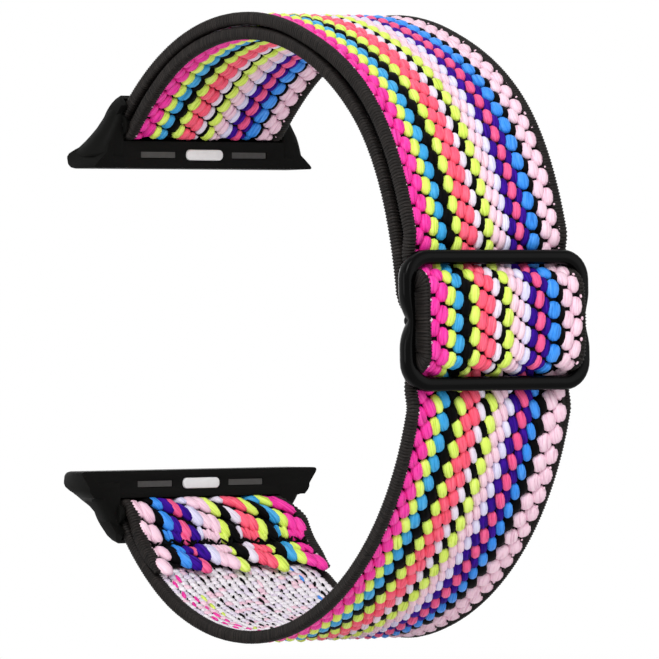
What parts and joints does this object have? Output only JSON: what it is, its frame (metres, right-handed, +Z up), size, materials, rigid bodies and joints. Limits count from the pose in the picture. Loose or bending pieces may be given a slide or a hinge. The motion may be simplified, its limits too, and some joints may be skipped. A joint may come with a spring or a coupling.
{
  "type": "adjustable watch strap",
  "caption": "Elastic woven watch strap in a loop, with a black three-bar slider and a sprung-latch watch connector at each end.",
  "frame": {"origin": "the middle of the upper connector's tongue, the part that the watch case holds", "axes": "+X across the band along both tongues, +Y from the slider towards the watch's outside, +Z up, from the lower connector to the upper one"},
  "size_m": [0.0282, 0.0637, 0.0663],
  "materials": {
    "connector_black": "satin black coat",
    "bar_steel": "ground steel",
    "pad_grey": "matt dark grey",
    "spring_steel": "bright spring steel",
    "latch_grey": "pale grey satin",
    "slider_black": "glossy black",
    "band_web": "plump woven cords in stripes of many colours, pale on the back",
    "band_edge": "ribbed black woven edge",
    "sewing_thread": "black sewing thread"
  },
  "bodies": {
    "upper_connector": {"upper_connector": "connector_black", "upper_bar": "bar_steel", "upper_pads": "pad_grey", "upper_latch_spring": "spring_steel"},
    "upper_latch": {"upper_latch_pill": "latch_grey"},
    "band": {"outer_upper_run": "band_web", "outer_upper_edges": "band_edge", "outer_lower_run": "band_web", "outer_lower_edges": "band_edge", "slider_run": "band_web", "slider_run_edges": "band_edge", "inner_run": "band_web", "inner_run_edges": "band_edge", "upper_fold": "band_web", "upper_fold_edges": "band_edge", "lower_fold": "band_web", "lower_fold_edges": "band_edge", "tail_stitches": "sewing_thread"},
    "slider": {"slider_frame": "slider_black", "slider_bar": "slider_black", "slider_wrap": "band_web", "slider_wrap_edges": "band_edge", "wrap_stitches": "sewing_thread"},
    "lower_connector": {"lower_connector": "connector_black", "lower_bar": "bar_steel", "lower_pads": "pad_grey", "lower_latch_spring": "spring_steel"},
    "lower_latch": {"lower_latch_pill": "latch_grey"}
  },
  "joints": [
    {"name": "upper_swing", "type": "hinge", "parent": "upper_connector", "child": "band", "pos_m": [0, -0.00235, 0.0032], "axis": [1, 0, 0], "range_deg": [-3, 10]},
    {"name": "slider_adjust", "type": "hinge", "parent": "band", "child": "slider", "pos_m": [0, -0.02475, -0.01881], "axis": [1, 0, 0], "range_deg": [-20, 20], "deforming": ["slider_run", "slider_run_edges", "inner_run", "inner_run_edges"]},
    {"name": "lower_swing", "type": "hinge", "parent": "band", "child": "lower_connector", "pos_m": [0, -0.00114, -0.03883], "axis": [1, 0, 0], "range_deg": [-3, 10]},
    {"name": "upper_latch_press", "type": "slide", "parent": "upper_connector", "child": "upper_latch", "axis": [0, 1, 0], "range_m": [0, 0.0006], "stiffness_N_per_m": 400, "springref_m": -0.001, "deforming": ["upper_latch_spring"]},
    {"name": "lower_latch_press", "type": "slide", "parent": "lower_connector", "child": "lower_latch", "axis": [0, 1, 0], "range_m": [0, 0.0006], "stiffness_N_per_m": 400, "springref_m": -0.001, "deforming": ["lower_latch_spring"]}
  ]
}
